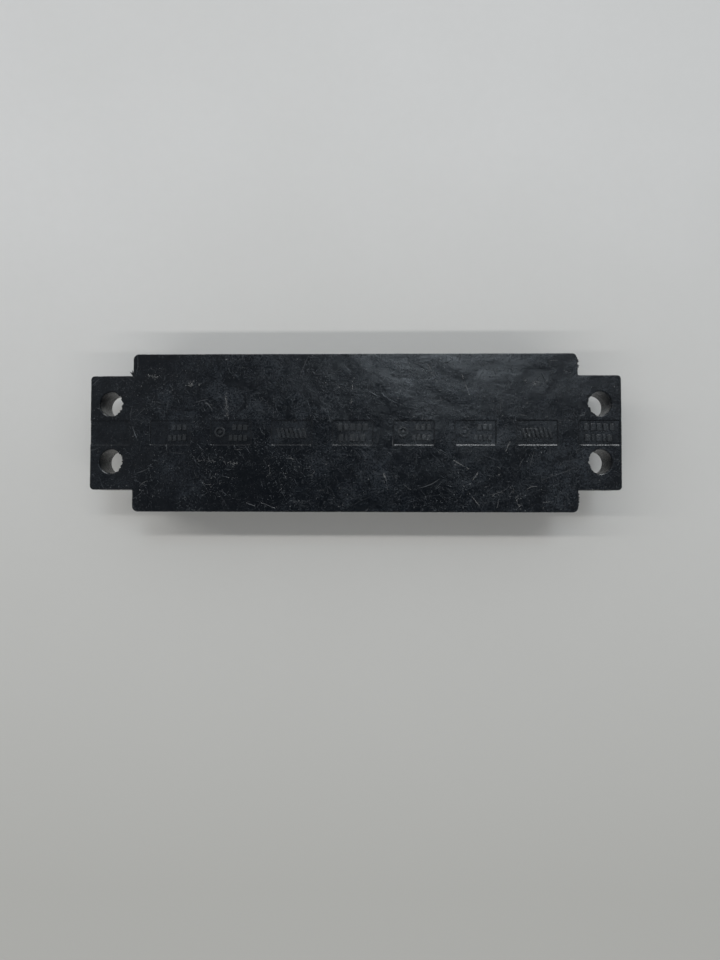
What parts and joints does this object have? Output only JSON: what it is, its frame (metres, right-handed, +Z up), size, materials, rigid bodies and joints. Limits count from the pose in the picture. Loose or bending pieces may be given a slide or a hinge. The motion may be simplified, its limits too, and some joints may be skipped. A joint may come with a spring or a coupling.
{
  "type": "barrier terminal block",
  "caption": "Black double-row barrier terminal block with closed base, drilled end ears, and slotted screws with captive square clamp washers between the barriers.",
  "frame": {"origin": "centre of the bounding box, on the plane of the barrier tips that the block lies on", "axes": "+X along the row of poles, +Y across the block from screw row b to screw row a, +Z up out of the flat mounting face, so that the screws point down"},
  "size_m": [0.0964, 0.0288, 0.0159],
  "materials": {
    "phenolic": "satin black moulding",
    "nickel_brass": "nickel-plated, slightly tarnished",
    "plated_steel": "nickel-plated"
  },
  "bodies": {
    "block": {"housing": "phenolic", "terminal_strip_1": "nickel_brass", "terminal_strip_2": "nickel_brass", "terminal_strip_3": "nickel_brass", "terminal_strip_4": "nickel_brass", "terminal_strip_5": "nickel_brass", "terminal_strip_6": "nickel_brass", "terminal_strip_7": "nickel_brass"},
    "clamp_1a": {"clamp_washer_1a": "plated_steel"},
    "screw_1a": {"terminal_screw_1a": "plated_steel"},
    "clamp_1b": {"clamp_washer_1b": "plated_steel"},
    "screw_1b": {"terminal_screw_1b": "plated_steel"},
    "clamp_2a": {"clamp_washer_2a": "plated_steel"},
    "screw_2a": {"terminal_screw_2a": "plated_steel"},
    "clamp_2b": {"clamp_washer_2b": "plated_steel"},
    "screw_2b": {"terminal_screw_2b": "plated_steel"},
    "clamp_3a": {"clamp_washer_3a": "plated_steel"},
    "screw_3a": {"terminal_screw_3a": "plated_steel"},
    "clamp_3b": {"clamp_washer_3b": "plated_steel"},
    "screw_3b": {"terminal_screw_3b": "plated_steel"},
    "clamp_4a": {"clamp_washer_4a": "plated_steel"},
    "screw_4a": {"terminal_screw_4a": "plated_steel"},
    "clamp_4b": {"clamp_washer_4b": "plated_steel"},
    "screw_4b": {"terminal_screw_4b": "plated_steel"},
    "clamp_5a": {"clamp_washer_5a": "plated_steel"},
    "screw_5a": {"terminal_screw_5a": "plated_steel"},
    "clamp_5b": {"clamp_washer_5b": "plated_steel"},
    "screw_5b": {"terminal_screw_5b": "plated_steel"},
    "clamp_6a": {"clamp_washer_6a": "plated_steel"},
    "screw_6a": {"terminal_screw_6a": "plated_steel"},
    "clamp_6b": {"clamp_washer_6b": "plated_steel"},
    "screw_6b": {"terminal_screw_6b": "plated_steel"},
    "clamp_7a": {"clamp_washer_7a": "plated_steel"},
    "screw_7a": {"terminal_screw_7a": "plated_steel"},
    "clamp_7b": {"clamp_washer_7b": "plated_steel"},
    "screw_7b": {"terminal_screw_7b": "plated_steel"}
  },
  "joints": [
    {"name": "travel_1a", "type": "slide", "parent": "block", "child": "clamp_1a", "axis": [0, 0, -1], "range_m": [0, 0.00397]},
    {"name": "turn_1a", "type": "hinge", "parent": "clamp_1a", "child": "screw_1a", "pos_m": [-0.03334, 0.00794, 0.006], "axis": [0, 0, -1], "range_deg": [0, 1800]},
    {"name": "travel_1b", "type": "slide", "parent": "block", "child": "clamp_1b", "axis": [0, 0, -1], "range_m": [0, 0.00397]},
    {"name": "turn_1b", "type": "hinge", "parent": "clamp_1b", "child": "screw_1b", "pos_m": [-0.03334, -0.00794, 0.006], "axis": [0, 0, -1], "range_deg": [0, 1800]},
    {"name": "travel_2a", "type": "slide", "parent": "block", "child": "clamp_2a", "axis": [0, 0, -1], "range_m": [0, 0.00397]},
    {"name": "turn_2a", "type": "hinge", "parent": "clamp_2a", "child": "screw_2a", "pos_m": [-0.02223, 0.00794, 0.006], "axis": [0, 0, -1], "range_deg": [0, 1800]},
    {"name": "travel_2b", "type": "slide", "parent": "block", "child": "clamp_2b", "axis": [0, 0, -1], "range_m": [0, 0.00397]},
    {"name": "turn_2b", "type": "hinge", "parent": "clamp_2b", "child": "screw_2b", "pos_m": [-0.02223, -0.00794, 0.006], "axis": [0, 0, -1], "range_deg": [0, 1800]},
    {"name": "travel_3a", "type": "slide", "parent": "block", "child": "clamp_3a", "axis": [0, 0, -1], "range_m": [0, 0.00397]},
    {"name": "turn_3a", "type": "hinge", "parent": "clamp_3a", "child": "screw_3a", "pos_m": [-0.01111, 0.00794, 0.006], "axis": [0, 0, -1], "range_deg": [0, 1800]},
    {"name": "travel_3b", "type": "slide", "parent": "block", "child": "clamp_3b", "axis": [0, 0, -1], "range_m": [0, 0.00397]},
    {"name": "turn_3b", "type": "hinge", "parent": "clamp_3b", "child": "screw_3b", "pos_m": [-0.01111, -0.00794, 0.006], "axis": [0, 0, -1], "range_deg": [0, 1800]},
    {"name": "travel_4a", "type": "slide", "parent": "block", "child": "clamp_4a", "axis": [0, 0, -1], "range_m": [0, 0.00397]},
    {"name": "turn_4a", "type": "hinge", "parent": "clamp_4a", "child": "screw_4a", "pos_m": [0, 0.00794, 0.006], "axis": [0, 0, -1], "range_deg": [0, 1800]},
    {"name": "travel_4b", "type": "slide", "parent": "block", "child": "clamp_4b", "axis": [0, 0, -1], "range_m": [0, 0.00397]},
    {"name": "turn_4b", "type": "hinge", "parent": "clamp_4b", "child": "screw_4b", "pos_m": [0, -0.00794, 0.006], "axis": [0, 0, -1], "range_deg": [0, 1800]},
    {"name": "travel_5a", "type": "slide", "parent": "block", "child": "clamp_5a", "axis": [0, 0, -1], "range_m": [0, 0.00397]},
    {"name": "turn_5a", "type": "hinge", "parent": "clamp_5a", "child": "screw_5a", "pos_m": [0.01111, 0.00794, 0.006], "axis": [0, 0, -1], "range_deg": [0, 1800]},
    {"name": "travel_5b", "type": "slide", "parent": "block", "child": "clamp_5b", "axis": [0, 0, -1], "range_m": [0, 0.00397]},
    {"name": "turn_5b", "type": "hinge", "parent": "clamp_5b", "child": "screw_5b", "pos_m": [0.01111, -0.00794, 0.006], "axis": [0, 0, -1], "range_deg": [0, 1800]},
    {"name": "travel_6a", "type": "slide", "parent": "block", "child": "clamp_6a", "axis": [0, 0, -1], "range_m": [0, 0.00397]},
    {"name": "turn_6a", "type": "hinge", "parent": "clamp_6a", "child": "screw_6a", "pos_m": [0.02223, 0.00794, 0.006], "axis": [0, 0, -1], "range_deg": [0, 1800]},
    {"name": "travel_6b", "type": "slide", "parent": "block", "child": "clamp_6b", "axis": [0, 0, -1], "range_m": [0, 0.00397]},
    {"name": "turn_6b", "type": "hinge", "parent": "clamp_6b", "child": "screw_6b", "pos_m": [0.02223, -0.00794, 0.006], "axis": [0, 0, -1], "range_deg": [0, 1800]},
    {"name": "travel_7a", "type": "slide", "parent": "block", "child": "clamp_7a", "axis": [0, 0, -1], "range_m": [0, 0.00397]},
    {"name": "turn_7a", "type": "hinge", "parent": "clamp_7a", "child": "screw_7a", "pos_m": [0.03334, 0.00794, 0.006], "axis": [0, 0, -1], "range_deg": [0, 1800]},
    {"name": "travel_7b", "type": "slide", "parent": "block", "child": "clamp_7b", "axis": [0, 0, -1], "range_m": [0, 0.00397]},
    {"name": "turn_7b", "type": "hinge", "parent": "clamp_7b", "child": "screw_7b", "pos_m": [0.03334, -0.00794, 0.006], "axis": [0, 0, -1], "range_deg": [0, 1800]}
  ],
  "couplings": [
    {"joint": "turn_1a", "follows": "travel_1a", "rad_per_m": 7915.8},
    {"joint": "turn_1b", "follows": "travel_1b", "rad_per_m": 7915.8},
    {"joint": "turn_2a", "follows": "travel_2a", "rad_per_m": 7915.8},
    {"joint": "turn_2b", "follows": "travel_2b", "rad_per_m": 7915.8},
    {"joint": "turn_3a", "follows": "travel_3a", "rad_per_m": 7915.8},
    {"joint": "turn_3b", "follows": "travel_3b", "rad_per_m": 7915.8},
    {"joint": "turn_4a", "follows": "travel_4a", "rad_per_m": 7915.8},
    {"joint": "turn_4b", "follows": "travel_4b", "rad_per_m": 7915.8},
    {"joint": "turn_5a", "follows": "travel_5a", "rad_per_m": 7915.8},
    {"joint": "turn_5b", "follows": "travel_5b", "rad_per_m": 7915.8},
    {"joint": "turn_6a", "follows": "travel_6a", "rad_per_m": 7915.8},
    {"joint": "turn_6b", "follows": "travel_6b", "rad_per_m": 7915.8},
    {"joint": "turn_7a", "follows": "travel_7a", "rad_per_m": 7915.8},
    {"joint": "turn_7b", "follows": "travel_7b", "rad_per_m": 7915.8}
  ]
}
